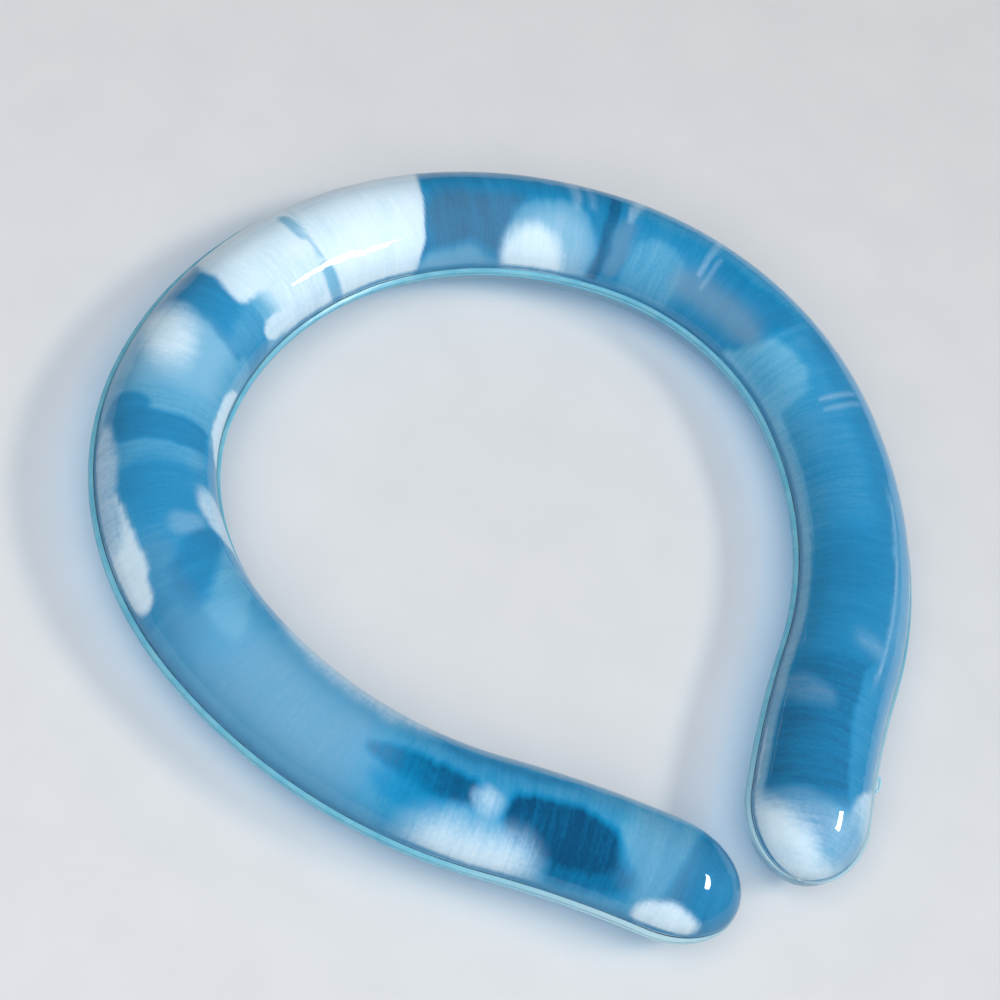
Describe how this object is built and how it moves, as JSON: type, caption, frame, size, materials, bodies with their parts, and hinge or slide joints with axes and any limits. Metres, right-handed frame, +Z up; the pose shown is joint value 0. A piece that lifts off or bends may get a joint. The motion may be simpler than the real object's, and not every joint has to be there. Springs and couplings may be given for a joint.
{
  "type": "cooling neck ring",
  "caption": "Open cooling neck ring: a clear tube with rounded ends, welded from two formed halves and filled with blue phase-change gel.",
  "frame": {"origin": "middle of the ring's box, at the level of the surface that it lies on", "axes": "+Z up, through the thickness of the ring as it lies; +Y towards the nape; the open front is at -Y"},
  "size_m": [0.1754, 0.1807, 0.021],
  "materials": {
    "clear_tpu": "clear glossy thermoplastic polyurethane with a faint blue tint",
    "blue_gel": "sky-blue phase-change gel, partly set to fibrous white crystals"
  },
  "bodies": {
    "root": {"upper_shell": "clear_tpu", "lower_shell": "clear_tpu", "cooling_core": "blue_gel", "filling_stub": "clear_tpu"}
  },
  "joints": []
}
